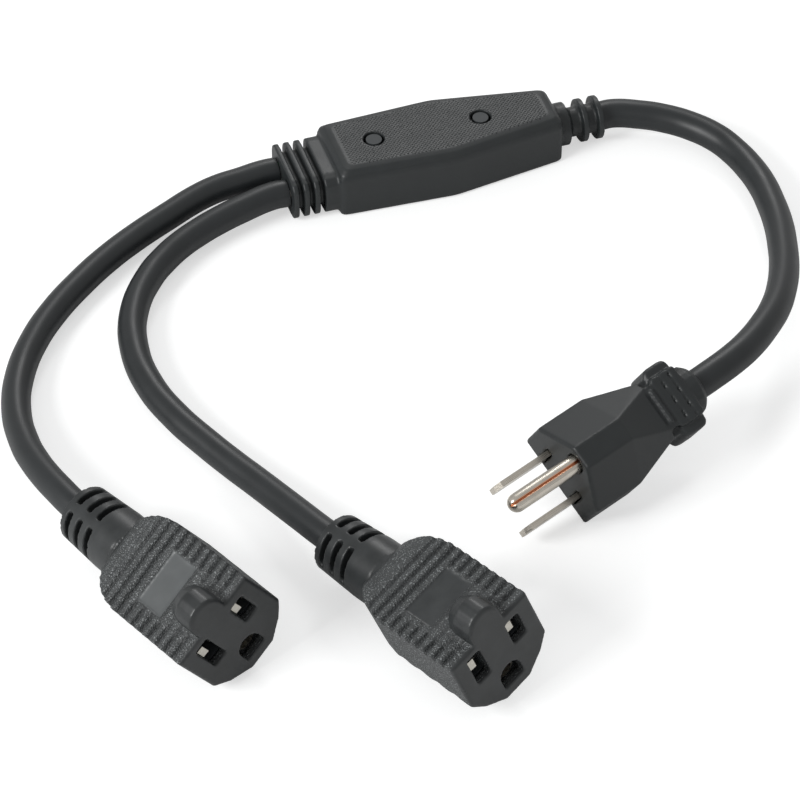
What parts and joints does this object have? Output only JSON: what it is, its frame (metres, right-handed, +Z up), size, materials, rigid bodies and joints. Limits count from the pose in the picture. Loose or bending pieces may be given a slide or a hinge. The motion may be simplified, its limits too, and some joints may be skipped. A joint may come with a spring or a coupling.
{
  "type": "power cord splitter",
  "caption": "Short mains splitter: a grounded plug on a cord runs into a moulded junction block, and branch cords lead from it to socket connectors.",
  "frame": {"origin": "middle of the junction block's flat underside", "axes": "+X along the junction block towards the plug's cord, +Z up, the socket connectors and the plug lie towards -Y"},
  "size_m": [0.2238, 0.2109, 0.0347],
  "materials": {
    "outer_moulding": "satin moulded vinyl, fine grained in places",
    "cord_jacket": "smooth satin vinyl",
    "inner_moulding": "plain moulded",
    "contact_metal": "nickel plated",
    "crimp": "tinned",
    "lead_line": "smooth insulation",
    "lead_neutral": "smooth insulation",
    "lead_ground": "smooth insulation"
  },
  "bodies": {
    "root": {"junction_body": "outer_moulding", "junction_inner_mould": "inner_moulding", "left_branch_cord": "cord_jacket", "left_branch_lead_ground": "lead_ground", "left_branch_lead_line": "lead_line", "left_branch_lead_neutral": "lead_neutral", "left_contact_carrier": "inner_moulding", "left_contact_line": "contact_metal", "left_contact_neutral": "contact_metal", "left_ground_sleeve": "contact_metal", "left_socket_body": "outer_moulding", "left_socket_lead_ground": "lead_ground", "left_socket_lead_line": "lead_line", "left_socket_lead_neutral": "lead_neutral", "plug_blade_line": "contact_metal", "plug_blade_neutral": "contact_metal", "plug_body": "outer_moulding", "plug_bridge": "inner_moulding", "plug_ground_pin": "contact_metal", "plug_lead_ground": "lead_ground", "plug_lead_line": "lead_line", "plug_lead_neutral": "lead_neutral", "right_branch_cord": "cord_jacket", "right_branch_lead_ground": "lead_ground", "right_branch_lead_line": "lead_line", "right_branch_lead_neutral": "lead_neutral", "right_contact_carrier": "inner_moulding", "right_contact_line": "contact_metal", "right_contact_neutral": "contact_metal", "right_ground_sleeve": "contact_metal", "right_socket_body": "outer_moulding", "right_socket_lead_ground": "lead_ground", "right_socket_lead_line": "lead_line", "right_socket_lead_neutral": "lead_neutral", "splice_ground": "crimp", "splice_line": "crimp", "splice_neutral": "crimp", "trunk_cord": "cord_jacket", "trunk_lead_ground": "lead_ground", "trunk_lead_line": "lead_line", "trunk_lead_neutral": "lead_neutral"}
  },
  "joints": []
}
